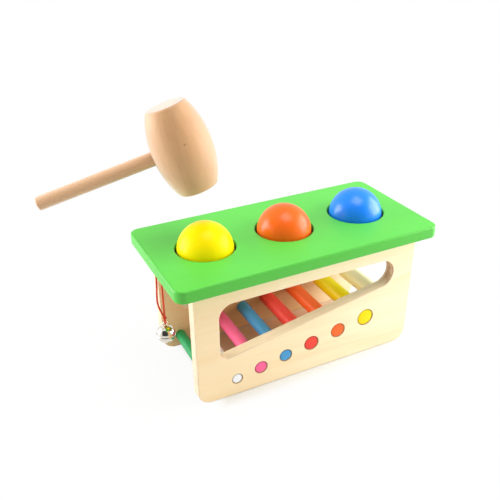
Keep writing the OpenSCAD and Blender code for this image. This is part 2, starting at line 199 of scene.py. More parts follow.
class BellLook(bpy.types.PropertyGroup):
    """Bell, its eye and pellet, and the cord that it hangs on."""

    wall: length("Wall", "Thickness of the bell's metal", 0.6)
    seam_height: length("Seam height", "Height of the seam round the bell", 0.9)
    seam_out: length("Seam out", "How far the seam stands out", 0.4)
    eye_wire: length("Eye wire", "Thickness of the wire of the eye", 1)
    eye_bore: length("Eye bore", "Clear diameter of the eye", 2.8)
    eye_sink: length("Eye sink", "How far the eye's foot is sunk into the bell", 0.6)
    cord: length("Cord", "Diameter of the cord", 1.6)
    cord_spread: length("Cord spread", "Distance between the cord's two ends", 13)
    cord_bow: length("Cord bow", "How far the slack back strand bows out from the bench", 3.7)
    cord_lay: length("Cord lay", "Length in which the cord's yarns go once round", 4.8)
    loop_cord: length("Loop cord", "Thickness of the cord in the loop", 1.2)
    loop_bore: length("Loop bore", "Inner diameter of the loop", 2.8)
    knot: length("Knot", "Diameter of the knot", 3.4)
    red: colour("Red", "Colour of the cord", "#E0482A")
    nickel: colour("Nickel", "Colour of the bell's plating", "#E4DFD2")
    steel: colour("Steel", "Colour of the pellet", "#8E8E8C")
    worn_steel: colour("Worn steel", "Colour of the pellet where it is worn", "#6C6A66")


class MalletLook(bpy.types.PropertyGroup):
    """Place, shape and wood of the mallet."""

    centre_x: length("Centre X", "Middle of the head along the bench", -78)
    centre_y: length("Centre Y", "Middle of the head to the back", 16)
    centre_z: length("Centre Z", "Height of the head's middle", 191)
    roll: angle("Roll", "Tilt about the handle", -5.5)
    lean: angle("Lean", "Lean of the head along the handle", -18.5)
    turn: angle("Turn", "Direction of the handle seen from above", -17.5)
    head_length: length("Head length", "Length of the head", 66.5)
    head_middle: length("Head middle", "Diameter of the head at its middle", 46)
    head_end: length("Head end", "Diameter of the head at its striking faces", 30.5)
    rim: length("Rim", "Radius of the rim round each striking face", 2)
    handle: length("Handle", "Diameter of the handle", 11)
    handle_reach: length("Handle reach", "Length of the handle outside the head", 92)
    handle_end: length("Handle end", "Radius of the handle's rounded end", 1.5)
    handle_socket: length("Handle socket", "Depth of the handle past the head's middle", 12)
    wood: colour("Wood", "Colour of the head's beech", "#D09D68")
    handle_wood: colour("Handle wood", "Colour of the handle's paler beech", "#D3A476")
    fleck: colour("Fleck", "Colour of the flecks and rings in the beech", "#A8743F")
    pin: bpy.props.FloatVectorProperty(
        name="Pin", description="Place of a small dark pin knot, in the head's own axes",
        default=(4 * MM, -22.3 * MM, 6.5 * MM), size=3, unit="LENGTH", precision=5)


class StudioLook(bpy.types.PropertyGroup):
    """Camera, floor, cloth and lamps."""

    camera_x: length("Camera X", "Place of the camera along the bench", -231.151)
    camera_y: length("Camera Y", "Place of the camera, to the back", -408.867)
    camera_z: length("Camera Z", "Height of the camera", 347.745)
    yaw: angle("Yaw", "Turn of the camera from the back towards the high end", 26.045)
    pitch: angle("Pitch", "How far the camera looks down", 28.4405)
    roll: angle("Roll", "Roll of the camera", -0.768)
    lens: bpy.props.FloatProperty(
        name="Lens", description="Focal length on a 36 mm sensor", default=45.947, unit="CAMERA")
    clip: length("Clip", "How near to the camera a thing still shows", 10)
    floor: colour("Floor", "Colour of the floor", "#E8E8E8")
    # Painted shade and bounced light: to the camera the floor under the bench is drawn in this warm brown
    under: colour("Under", "Colour of the floor deep under the bench", "#E6C2A2")
    floor_size: length("Floor size", "Width of the floor", 6000)
    floor_gap: length("Floor gap", "How far the floor lies below the panels", 0.1)
    shade_mid: length("Shade middle", "Middle of the shaded floor along the bench", 11.5)
    shade_x: length("Shade X", "Half the length of the shaded floor under the bench", 83.5)
    shade_y: length("Shade Y", "Half the width of the shaded floor under the bench", 46)
    near: length("Near", "How far outside the shade the floor reaches its soft glow", 16)
    far: length("Far", "How far outside the shade the floor is all white", 300)
    soft_glow: strength("Soft glow", "Share of white in the soft glow", 0.92)
    cloth: colour("Cloth", "Colour of the dark cloth behind the camera", "#303032")
    cloth_width: length("Cloth width", "Width of the cloth", 1500)
    cloth_height: length("Cloth height", "Height of the cloth", 1000)
    cloth_back: length("Cloth back", "How far the cloth hangs behind the camera", 250)
    fill: strength("Fill", "Strength of the light that comes from all around", 0.49)
    lamp_aim: length("Lamp aim", "Height of the point that the lamps are turned to", 70)


LOOKS = {
    "bench_board": BoardLook,
    "bench_panels": PanelLook,
    "bench_rods": RodLook,
    "bench_balls": BallLook,
    "bench_bell": BellLook,
    "bench_mallet": MalletLook,
    "bench_studio": StudioLook,
}


def math_node(operation, swapped=False):
    """Method of Wire that adds a Math node; a reflected form has its two values swapped."""
    def method(self, other):
        values = (other, self) if swapped else (self, other)
        return self.finish.math(operation, *values)
    return method


class Wire:
    """An output in a finish's node tree; arithmetic on it adds Math nodes."""

    def __init__(self, finish, socket):
        self.finish = finish
        self.socket = socket

    __add__ = math_node("ADD")
    __radd__ = math_node("ADD", swapped=True)
    __sub__ = math_node("SUBTRACT")
    __rsub__ = math_node("SUBTRACT", swapped=True)
    __mul__ = math_node("MULTIPLY")
    __rmul__ = math_node("MULTIPLY", swapped=True)
    __gt__ = math_node("GREATER_THAN")

    def __abs__(self):
        return self.finish.math("ABSOLUTE", self)

    def ramp(self, low, high, most=1):
        """Smooth step from 0 at low to the most at high."""
        return self.finish.add(
            "MapRange", {"interpolation_type": "SMOOTHSTEP"},
            {"Value": self, "From Min": low, "From Max": high, "To Max": most}, "Result")

    def sway(self, swing):
        """Noise from 0 to 1 made to swing evenly about 0."""
        return (self - 0.5) * swing


class Finish:
    """One material, or the world, and the node tree that makes its look."""

    def __init__(self, name, kind="materials"):
        self.block = getattr(bpy.data, kind).new(name)
        self.block.use_nodes = True
        self.tree = self.block.node_tree
        self.tree.nodes.clear()

    def add(self, kind, settings=None, inputs=None, output=0):
        """Adds a shader node: its settings first, then the values or wires of its inputs."""
        node = self.tree.nodes.new(f"ShaderNode{kind}")
        for key, value in (settings or {}).items():
            setattr(node, key, value)
        for key, value in (inputs or {}).items():
            if isinstance(value, Wire):
                self.tree.links.new(value.socket, node.inputs[key])
            elif node.inputs[key].type == "RGBA":
                node.inputs[key].default_value = (*value, 1)
            else:
                node.inputs[key].default_value = value
        return Wire(self, node.outputs[output]) if node.outputs else None

    def math(self, operation, *values):
        """Output of a Math node on some values and wires."""
        return self.add("Math", {"operation": operation}, dict(enumerate(values)))

    def place(self, centre=(0, 0, 0), turn=(0, 0, 0), size=(1, 1, 1)):
        """Object coordinates, about a centre and turned with it, in units of the given size."""
        point = self.add("TexCoord", output="Object")
        return self.add(
            "Mapping", {"vector_type": "TEXTURE"},
            {"Vector": point, "Location": centre, "Rotation": turn, "Scale": size})

    def clouds(self, where, detail, rough=0.5, warp=0):
        """Cloudy noise from 0 to 1 with one cloud to each unit of its coordinates."""
        return self.add(
            "TexNoise", output="Fac", inputs={
                "Vector": where, "Scale": 1, "Detail": detail, "Roughness": rough, "Distortion": warp})

    def noise(self, size, detail, rough=0.5, warp=0, centre=(0, 0, 0), turn=(0, 0, 0)):
        """Clouds of a size in millimetres, one for all axes or one for each, about a turned centre."""
        scale = np.broadcast_to(np.multiply(size, MM), 3)
        return self.clouds(self.place(centre, turn, scale), detail, rough, warp)

    def axis(self, where, name):
        """One coordinate of a place."""
        return self.add("SeparateXYZ", inputs={"Vector": where}, output=name)

    def seen(self):
        """1 for a ray that shows a thing to the camera: straight, in a reflection or through glass."""
        kinds = ("Camera", "Glossy", "Transmission")
        return sum(self.add("LightPath", output=f"Is {kind} Ray") for kind in kinds) > 0.5

    def cut_across(self):
        """How squarely a face cuts across the grain, from 0 to 1, as make_piece noted it."""
        return self.add("Attribute", {"attribute_name": "end_grain"}, output="Fac")

    def mix(self, factor, first, second, kind="MIX"):
        """Colour that goes from the first to the second as the factor goes from 0 to 1."""
        colours = {0: factor, 6: first, 7: second}
        return self.add("Mix", {"data_type": "RGBA", "blend_type": kind}, colours, 2)

    def blend(self, factor, first, second):
        """Shader that goes from the first to the second as the factor goes from 0 to 1."""
        return self.add("MixShader", inputs={0: factor, 1: first, 2: second})

    def close(self, shader, kind="Material"):
        """Ends the tree with its output node."""
        self.add(f"Output{kind}", inputs={"Surface": shader})
        return self.block

    def surface(self, base, roughness, height=None, bump=0.0, depth=0.3, **constants):
        """Closes the tree with one Principled shader.

        height goes through a Bump node of a depth in millimetres, and a constant is set on the
        socket of its name, with a space for each underline."""
        inputs = {"Base Color": base, "Roughness": roughness}
        inputs.update({name.replace("_", " "): value for name, value in constants.items()})
        if height is not None:
            inputs["Normal"] = self.add(
                "Bump", inputs={"Strength": bump, "Distance": depth * MM, "Height": height})
        return self.close(self.add("BsdfPrincipled", inputs=inputs))


def shade(paint, factor):
    """A colour made lighter or darker by a plain factor."""
    return tuple(min(1.0, channel * factor) for channel in paint)


def stretched(grain, across, along):
    """Size of a pattern that is longer along the grain's axis: 0 for X, 1 for Y and 2 for Z."""
    size = [across] * 3
    size[grain] = along
    return size


def painted_wood(name, paint, grain, shine, roughness=0.36):
    """Sprayed paint on planed wood: long faint grain, fine orange peel and uneven gloss."""
    finish = Finish(name)
    lines = finish.noise(stretched(grain, 1.1, 30), 4, rough=0.6, warp=0.3)
    clouds = finish.noise(35, 2)
    peel = finish.noise(1.2, 1)
    base = finish.mix(lines.ramp(0.35, 0.75, most=0.12), paint, shade(paint, 0.78))
    base = finish.mix(clouds.ramp(0.3, 0.8, most=0.16), base, shade(paint, 1.14))
    rough = roughness + clouds.sway(0.12) + lines.sway(0.08)
    return finish.surface(base, rough, lines * 0.6 + peel * 0.4, bump=0.12, Specular_IOR_Level=shine)


def lacquered_ball(name, paint, centre, shine):
    """Lacquer on a turned ball: growth rings show faintly through, and the gloss is nearly even."""
    finish = Finish(name)
    tilt = (0.3, 0.2, 0.5)
    rings = finish.noise((4, 30, 4), 3, rough=0.55, warp=0.6, centre=centre, turn=tilt)
    clouds = finish.noise(20, 2, centre=centre)
    peel = finish.noise(1.6, 1, centre=centre)
    base = finish.mix(rings.ramp(0.4, 0.8, most=0.14), paint, shade(paint, 0.78))
    base = finish.mix(clouds.ramp(0.35, 0.8, most=0.14), base, shade(paint, 1.15))
    rough = 0.3 + clouds.sway(0.1)
    return finish.surface(base, rough, peel * 0.5 + rings * 0.5, bump=0.06, Specular_IOR_Level=shine)


def pale_wood(name, look, half_room):
    """Clear-lacquered solid wood with its grain along X: soft figure, fine lines and pores, and
    streaks on the faces that cut across the grain.

    half_room is half the room between the panels. The faces that bound that room are drawn darker
    and redder, most of all deep inside: painted shade and bounced light inside the bench."""
    finish = Finish(name)
    point = finish.add("TexCoord", output="Object")
    along = finish.axis(point, "X")
    shadowed = abs(finish.axis(point, "Y")).ramp(half_room + 2 * look.ease, half_room + look.ease)
    deep = abs(along - look.deep_x).ramp(look.pale, look.deep)
    figure = finish.noise((160, 14, 18), 2, warp=0.9)
    lines = finish.noise((60, 1.5, 2), 4, rough=0.6, warp=0.5)
    pores = finish.noise((8, 0.4, 0.5), 2).ramp(0.62, 0.8)
    streaks = finish.noise((4, 0.8, 11), 4, rough=0.65, warp=0.6)
    face = finish.mix(lines.ramp(0.38, 0.8, most=0.24), look.wood, look.grain)
    face = finish.mix(figure.ramp(0.4, 0.8, most=0.35), face, look.grain)
    # Painted shade: redder and darker towards the low end, where less light falls
    face = finish.mix(along.ramp(look.painted_shade_from, look.painted_shade_to, look.painted_shade_most), face, look.grain)
    face = finish.mix(pores * 0.3, face, shade(look.grain, 0.78))
    # Painted shade and bounced light: the faces inside the bench are multiplied by a darker, redder colour,
    # most of all deep inside
    face = finish.mix(shadowed * deep, face, look.inner, "MULTIPLY")
    across = finish.cut_across().ramp(0.45, 0.95)
    cut = finish.mix(streaks.ramp(0.3, 0.7), shade(look.end_grain, 1.25), shade(look.end_grain, 0.72))
    base = finish.mix(across * 0.7, face, cut)
    rough = 0.42 + lines.sway(0.16) + across * 0.15
    height = lines * 0.5 + pores * -0.4 + streaks * across * 0.5
    return finish.surface(base, rough, height, bump=0.16, Specular_IOR_Level=0.4)


def routed_wood(name, look):
    """Wall of the window: fine lines left by the cutter run round it, and where it cuts across the grain
    it is drawn darker in streaks, painted shade of the window's ends."""
    finish = Finish(name)
    lines = finish.noise((50, 1.1, 50), 3, rough=0.6)
    blots = finish.noise((12, 4, 5), 3, rough=0.6)
    base = finish.mix(lines.ramp(0.35, 0.7, most=0.45), look.routed, shade(look.routed, 0.7))
    patchy = lines.ramp(0.3, 0.62, most=0.6) + blots.ramp(0.3, 0.7, most=0.4)
    # Painted shade in streaks where the wall cuts across the grain
    base = finish.mix(finish.cut_across().ramp(0.25, 0.9) * patchy, base, look.end_shade)
    return finish.surface(base, 0.55, lines, bump=0.2, Specular_IOR_Level=0.3)


def drilled_wood(name, look):
    """Rough bare wall of a drilled hole, scored round by the bit."""
    finish = Finish(name)
    score = finish.noise((4, 0.3, 4), 3, rough=0.6)
    base = finish.mix(score.ramp(0.3, 0.75), look.drilled, shade(look.drilled, 0.75))
    return finish.surface(base, 0.75, score, bump=0.3, depth=0.2, Specular_IOR_Level=0.25)


def turned_beech(name, wood, fleck, grain, centre=(0, 0, 0), turn=(0, 0, 0), pin=None):
    """Bare sanded beech: soft rings along the grain, short dark flecks and darker end grain.

    pin is the place of one small dark pin knot, in the piece's own turned axes."""
    finish = Finish(name)
    own = {"centre": centre, "turn": turn}
    rings = finish.noise(stretched(grain, 6, 70), 4, rough=0.6, warp=0.8, **own)
    flecks = finish.noise(stretched(grain, 0.6, 4), 2, **own).ramp(0.58, 0.75)
    clouds = finish.noise(30, 2, **own)
    base = finish.mix(rings.ramp(0.35, 0.8, most=0.3), wood, fleck)
    base = finish.mix(clouds.ramp(0.35, 0.8, most=0.25), base, shade(wood, 1.1))
    base = finish.mix(finish.cut_across().ramp(0.6, 0.98, most=0.3), base, fleck)
    base = finish.mix(flecks * 0.15, base, shade(fleck, 0.75))
    if pin is not None:
        away = finish.add("VectorMath", {"operation": "DISTANCE"}, {0: finish.place(**own), 1: pin}, "Value")
        pin_edge = 1.2 * MM
        pin_core = 0.3 * MM
        base = finish.mix(away.ramp(pin_edge, pin_core, most=0.55), base, shade(fleck, 0.45))
    return finish.surface(
        base, 0.55 + rings.sway(0.15), rings * 0.5 + flecks * -0.15, bump=0.2, Specular_IOR_Level=0.5,
        Sheen_Weight=1.0, Sheen_Roughness=0.5)


def bright_nickel(name, plating):
    """Nickel plating with faint smudges."""
    finish = Finish(name)
    smudge = finish.noise(4, 3)
    scratch = finish.noise((6, 0.3, 0.3), 2)
    base = finish.mix(smudge.ramp(0.4, 0.8, most=0.35), plating, shade(plating, 0.72))
    rough = 0.1 + smudge.ramp(0.35, 0.8, most=0.16)
    return finish.surface(base, rough, scratch, bump=0.04, depth=0.1, Metallic=1.0)


def twisted_yarn(name, dye):
    """Cord of twisted yarn: fine fibres run with the lay of its own UV map."""
    finish = Finish(name)
    slant = (0, 0, 0.9)
    fineness = (40, 160, 1)
    lay = finish.add(
        "Mapping", {"vector_type": "POINT"},
        {"Vector": finish.add("UVMap"), "Rotation": slant, "Scale": fineness})
    fibres = finish.clouds(lay, 3, rough=0.6)
    base = finish.mix(fibres.ramp(0.35, 0.7, most=0.6), dye, shade(dye, 0.55))
    return finish.surface(base, 0.75 + fibres * 0.15, fibres, bump=0.4, depth=0.1)


def black_rubber(name, look):
    """Dull black rubber with a fine bloom."""
    finish = Finish(name)
    bloom = finish.noise(3, 3)
    base = finish.mix(bloom.ramp(0.3, 0.8), look.rubber, look.bloom)
    return finish.surface(base, 0.6 + bloom * 0.2, bloom, bump=0.1, depth=0.2)


def plain_steel(name, look):
    """Dull steel of the pellet."""
    finish = Finish(name)
    wear = finish.noise(1, 3)
    base = finish.mix(wear.ramp(0.3, 0.8), look.steel, look.worn_steel)
    return finish.surface(base, 0.35 + wear * 0.2, wear, bump=0.1, depth=0.1, Metallic=1.0)


def unit(vectors):
    """Vectors brought to a length of 1."""
    return vectors / np.linalg.norm(vectors, axis=1, keepdims=True)


def once_round(steps):
    """Angles in equal steps once round a circle, in radians."""
    return np.linspace(0, 2 * np.pi, steps, endpoint=False)


def round_quads(rows, columns, closed=False):
    """Quads between each row of points and the next, with the columns joined round, and with the
    last row joined to the first where the rows are closed."""
    row = np.arange(rows if closed else rows - 1)[:, None]
    column = np.arange(columns)[None, :]
    after = (row + 1) % rows
    beside = (column + 1) % columns
    corners = [i * columns + j for i, j in ((row, column), (row, beside), (after, beside), (after, column))]
    return np.stack(corners, -1).reshape(-1, 4)


def turned(profile, sides):
    """Surface of revolution about Z of a profile of (radius, height) points.

    The profile runs with the solid on its left, from one point on the axis to another; each other
    point goes round in equal steps, and the two points on the axis close the ends with fans."""
    rings = profile[1:-1]
    turn = once_round(sides)
    x = rings[:, :1] * np.cos(turn)
    y = rings[:, :1] * np.sin(turn)
    z = np.repeat(rings[:, 1:], sides, axis=1)
    points = np.stack([x, y, z], -1).reshape(-1, 3)
    poles = np.array([[0, 0, profile[0, 1]], [0, 0, profile[-1, 1]]])
    first = np.arange(sides)
    second = (first + 1) % sides
    last = (len(rings) - 1) * sides
    low_fan = np.stack([np.full(sides, len(points)), second, first], -1)
    high_fan = np.stack([np.full(sides, len(points) + 1), last + first, last + second], -1)
    faces = round_quads(len(rings), sides).tolist() + low_fan.tolist() + high_fan.tolist()
    return np.concatenate([points, poles]), faces


def arc(centre, radius, start, end, steps):
    """Points on an arc about a centre, from one angle in degrees to another."""
    at = np.radians(np.linspace(start, end, steps))
    return np.stack([centre[0] + radius * np.cos(at), centre[1] + radius * np.sin(at)], -1)


def smooth_path(route, steps):
    """Curve through the points of a route, with some steps from each one to the next.

    Between two points it is the Catmull-Rom cubic of them and their neighbours."""
    ahead = np.concatenate([[2 * route[0] - route[1]], route, [2 * route[-1] - route[-2]]])
    before, start, end, after = (ahead[i:len(ahead) - 3 + i, None] for i in range(4))
    t = np.linspace(0, 1, steps, endpoint=False)[None, :, None]
    curve = (
        2 * start + (end - before) * t + (2 * before - 5 * start + 4 * end - after) * t ** 2
        + (3 * start - before - 3 * end + after) * t ** 3) / 2
    return np.concatenate([curve.reshape(-1, 3), route[-1:]])


def tube(path, radius, sides, across, lay=math.inf, lobes=0, lobe_depth=0.0, closed=False):
    """Round profile carried along a path.

    across is a direction, or one at each point, that the profile's zero angle keeps to, made square to
    the path. With lobes the radius rises and falls round the profile, and turns once round in the
    length of the lay, as the yarns of a twisted cord do. Gives points, faces and UVs for each point."""
    if closed:
        step = np.roll(path, -1, 0) - np.roll(path, 1, 0)
    else:
        step = np.gradient(path, axis=0)
    along = unit(step)
    side = unit(across - (across * along).sum(1, keepdims=True) * along)
    up = np.cross(along, side)
    run = np.concatenate([[0], np.cumsum(np.linalg.norm(np.diff(path, axis=0), axis=1))])
    turn = once_round(sides)
    wave = np.abs(np.cos(lobes / 2 * (turn[None, :] - 2 * np.pi / lay * run[:, None])))
    reach = radius * (1 - lobe_depth + lobe_depth * wave)
    ring = (np.cos(turn)[None, :, None] * side[:, None, :]
            + np.sin(turn)[None, :, None] * up[:, None, :])
    points = (path[:, None, :] + reach[:, :, None] * ring).reshape(-1, 3)
    rows = len(path)
    faces = round_quads(rows, sides, closed).tolist()
    if not closed:
        end = np.arange(sides)
        faces += [end[::-1].tolist(), ((rows - 1) * sides + end).tolist()]
    u = np.repeat(turn[None, :] / (2 * np.pi), rows, axis=0)
    v = np.repeat(run[:, None] / (2 * np.pi * radius), sides, axis=1)
    return points, faces, np.stack([u, v], -1).reshape(-1, 2)


def circle(radius, steps, first, second):
    """Points round a circle about the origin, in the plane of two of the axes, 0 to 2 for X to Z."""
    at = once_round(steps)
    points = np.zeros((steps, 3))
    points[:, first] = radius * np.cos(at)
    points[:, second] = radius * np.sin(at)
    return points


def rectangle(centre, half):
    """Corners of a rectangle, run anticlockwise from the lowest."""
    return centre + half * np.array([(-1, -1), (1, -1), (1, 1), (-1, 1)])


def rounded(corners, radii, steps):
    """Closed outline of a polygon whose corners are rounded by arcs tangent to both sides."""
    corners = np.asarray(corners, float)
    radii = np.asarray(radii, float)
    back = unit(np.roll(corners, 1, 0) - corners)
    ahead = unit(np.roll(corners, -1, 0) - corners)
    middle = unit(back + ahead)
    half = np.arccos(np.clip((back * ahead).sum(1), -1, 1)) / 2
    centres = corners + middle * (radii / np.sin(half))[:, None]
    sweep = (np.pi / 2 - half)[:, None] * np.linspace(-1, 1, steps)
    bend = np.sign(back[:, 0] * ahead[:, 1] - back[:, 1] * ahead[:, 0])
    face = np.arctan2(-middle[:, 1], -middle[:, 0])[:, None] - bend[:, None] * sweep
    points = centres[:, None, :] + radii[:, None, None] * np.stack([np.cos(face), np.sin(face)], -1)
    return points.reshape(-1, 2)


def hole_outline(centre, radius, steps):
    """Circle run clockwise, as the outline of a hole is."""
    return arc(centre, radius, 0, -360 + 360 / steps, steps)


def eased_wall(ease, height, steps):
    """Edge profile of a sheet as (set back, height) points: a quarter round, a wall, a quarter round."""
    low = arc((ease, ease), ease, -90, -180, steps)
    high = arc((ease, height - ease), ease, 180, 90, steps)
    return np.concatenate([low, high])


def edge(outline, profile, weight=1.0, through=True):
    """One edge of a cut sheet, with a weight for each of its points."""
    return outline, np.asarray(profile, float), np.broadcast_to(weight, len(outline)), through


def cut_sheet(edges):
    """Flat sheet with holes, lying on its first face with its thickness along the third axis.

    An edge's outline is run with the wood on its left, so the outer one goes anticlockwise and a hole
    clockwise, and its profile of (set back, height) points is carried along it, set back along the
    outline's normal times the weight. An edge that doesn't go through is a pocket in the first face,
    closed by a flat end. The two faces between the outlines are filled by triangulation. Gives
    points, faces and the number of the edge that each face belongs to, which is -1 on the two flat
    faces."""
    points = []
    faces = []
    owners = []
    ends = ([], [])
    start = 0
    for number, (outline, profile, weight, through) in enumerate(edges):
        count = len(outline)
        step = unit(np.roll(outline, -1, 0) - np.roll(outline, 1, 0))
        outward = np.stack([step[:, 1], -step[:, 0]], -1)
        back = profile[:, :1, None] * weight[None, :, None]
        flat = outline[None] - outward[None] * back
        height = np.repeat(profile[:, 1:], count, axis=1)[..., None]
        points.append(np.concatenate([flat, height], -1).reshape(-1, 3))
        faces += (round_quads(len(profile), count) + start).tolist()
        last = start + (len(profile) - 1) * count
        ends[0].append((flat[0], start))
        if through:
            ends[1].append((flat[-1], last))
        else:
            faces.append((last + np.arange(count)).tolist())
        owners += [number] * (len(faces) - len(owners))
        start += len(profile) * count
    for loops, order in zip(ends, (slice(None, None, -1), slice(None))):
        faces += [face[order] for face in filled(loops)]
    owners += [-1] * (len(faces) - len(owners))
    return np.concatenate(points), faces, np.array(owners)


def filled(loops):
    """Triangles between an outer loop and its holes, as indices of the points that they come from.

    The holes are convex, so a triangle with all its corners on one hole lies in it and is left out."""
    flat = np.concatenate([loop for loop, _ in loops]) / MM
    index = np.concatenate([first + np.arange(len(loop)) for loop, first in loops])
    counts = [len(loop) for loop, _ in loops]
    starts = np.concatenate([[0], np.cumsum(counts)[:-1]])
    owner = np.repeat(np.arange(len(loops)), counts)
    edges = np.concatenate([
        np.stack([begin + np.arange(count), begin + (np.arange(count) + 1) % count], -1)
        for begin, count in zip(starts, counts)])
    inside_only = 1
    tolerance = 1e-6
    _, _, found, sources, _, _ = delaunay_2d_cdt(
        [Vector(point) for point in flat], edges.tolist(), [], inside_only, tolerance)
    origin = np.array([source[0] for source in sources])
    triangles = origin[np.array(found)]
    owners = owner[triangles]
    in_hole = (owners[:, 0] > 0) & (owners == owners[:, :1]).all(1)
    return index[triangles[~in_hole]].tolist()


def placed(points, matrix):
    """Points turned and moved by a matrix."""
    turn = np.array(matrix)
    return points @ turn[:3, :3].T + turn[:3, 3]


def joined(*shapes):
    """Several (points, faces) shapes as one."""
    starts = np.concatenate([[0], np.cumsum([len(shape[0]) for shape in shapes])])
    faces = [
        [corner + int(start) for corner in face]
        for shape, start in zip(shapes, starts) for face in shape[1]]
    return np.concatenate([shape[0] for shape in shapes]), faces


def node_box(node):
    """Middle and half sizes of a CAD node's box."""
    low, high = np.array(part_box(node))
    return (low + high) / 2, (high - low) / 2


def linked(name, data):
    """New object of the scene, for a mesh, a lamp or a camera."""
    thing = bpy.data.objects.new(name, data)
    bpy.context.scene.collection.objects.link(thing)
    return thing


def make_piece(name, node, points, faces, materials, sharp=40, uv=None, flat=None, picks=None, grain=None):
    """Puts a surface into a mesh object that stands for a CAD node.

    sharp is the angle in degrees past which an edge stays sharp, and uv has a pair for each point.
    flat marks the faces that aren't shaded smoothly, picks has the number of each face's material, and
    grain is the direction of the wood's grain, across which each face's cut is noted as an attribute."""
    mesh = bpy.data.meshes.new(name)
    mesh.from_pydata(np.asarray(points).tolist(), [], faces)
    if mesh.validate():
        raise RuntimeError(f"{name}: the surface has faults")
    if uv is not None:
        layer = mesh.uv_layers.new(name="lay")
        corners = np.zeros(len(mesh.loops), np.int32)
        mesh.loops.foreach_get("vertex_index", corners)
        layer.data.foreach_set("uv", uv[corners].astype(np.float32).ravel())
    if grain is not None:
        normals = np.zeros(len(mesh.polygons) * 3, np.float32)
        mesh.polygons.foreach_get("normal", normals)
        across = np.abs(normals.reshape(-1, 3) @ np.array(grain, np.float32))
        mesh.attributes.new("end_grain", "FLOAT", "FACE").data.foreach_set("value", across)
    mesh.shade_smooth()
    mesh.set_sharp_from_angle(angle=math.radians(sharp))
    if flat is not None:
        mesh.polygons.foreach_set("use_smooth", ~flat)
    if picks is not None:
        mesh.polygons.foreach_set("material_index", picks.astype(np.int32))
    return dress(mesh, name, node, materials)


def merged_copy(name, node, materials, sharp=30):
    """Copy of a CAD node's mesh with its loose triangles joined, so that it shades smoothly."""
    mesh = frame["nodes"][node].data.copy()
    mesh.name = name
    joiner = bmesh.new()
    joiner.from_mesh(mesh)
    bmesh.ops.remove_doubles(joiner, verts=joiner.verts, dist=0.002 * MM)
    joiner.to_mesh(mesh)
    joiner.free()
    mesh.materials.clear()
    mesh.shade_smooth()
    mesh.set_sharp_from_angle(angle=math.radians(sharp))
    return dress(mesh, name, node, materials)


def dress(mesh, name, node, materials):
    """Object for a finished mesh, with its materials and the body of the node it replaces, which is hidden.
    """
    piece = linked(name, mesh)
    for material in materials:
        mesh.materials.append(material)
    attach(piece, BODIES[node])
    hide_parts(node)
    return piece


def repaint(node, material):
    """Gives a CAD node that stays as it is a better material."""
    slots = frame["nodes"][node].material_slots
    for slot in slots:
        slot.material = material
    if not slots:
        frame["nodes"][node].data.materials.append(material)


class BENCH_OT_cord(bpy.types.Operator):
    """Hangs the twisted cord: two strands from the board, the knot and the bell's loop"""

    bl_idname = "bench.cord"
    bl_label = "Cord"

    def execute(self, context):
        look = context.scene.bench_bell
        yarn = twisted_yarn("twisted_yarn", look.red)
        low, high = np.array(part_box("cord_strand_front"))
        top = np.array([*(low + high)[:2] / 2, high[2]])
        fall = high[2] - low[2]
        shares = np.array(STRAND_SHARES, float)
        taut = top - shares * [0, 0, fall]
        slack = top + [0, look.cord_spread, 0] - shares * [look.cord_bow, look.cord_spread, fall]
        for name, route in (("strand_front", taut), ("strand_back", slack)):
            path = smooth_path(route, steps=8)
            points, faces, uv = tube(
                path, look.cord / 2, sides=18, across=(1, 0, 0), lay=look.cord_lay, lobes=3, lobe_depth=0.2)
            strand = make_piece(name, f"cord_{name}", points, faces, (yarn,), sharp=80, uv=uv)
        knot = self.tie_knot(look, top - [0, 0, fall], yarn)
        return {"FINISHED"}

    @staticmethod
    def tie_knot(look, place, yarn):
        """Overhand knot as a tube along a trefoil, with the loop below it through the bell's eye."""
        steps = 120
        sides = 12
        radius = look.loop_cord / 2
        at = once_round(steps)
        trefoil = (look.knot - look.loop_cord) / 6 * np.stack([
            np.sin(at) + 2 * np.sin(2 * at),
            -np.sin(3 * at),
            np.cos(at) - 2 * np.cos(2 * at)], -1)
        never_along = (0, 1, 0.02)
        lump = tube(trefoil + place, radius, sides, never_along, closed=True)
        loop_radius = (look.loop_bore + look.loop_cord) / 2
        drop = np.array([0, 0, -look.knot / 4 - loop_radius])
        ring = circle(loop_radius, steps, 1, 2)
        loop = tube(ring + place + drop, radius, sides, ring, closed=True)
        points, faces = joined(lump[:2], loop[:2])
        uv = np.concatenate([lump[2], loop[2]])
        return make_piece("knot", "cord_knot", points, faces, (yarn,), sharp=80, uv=uv)


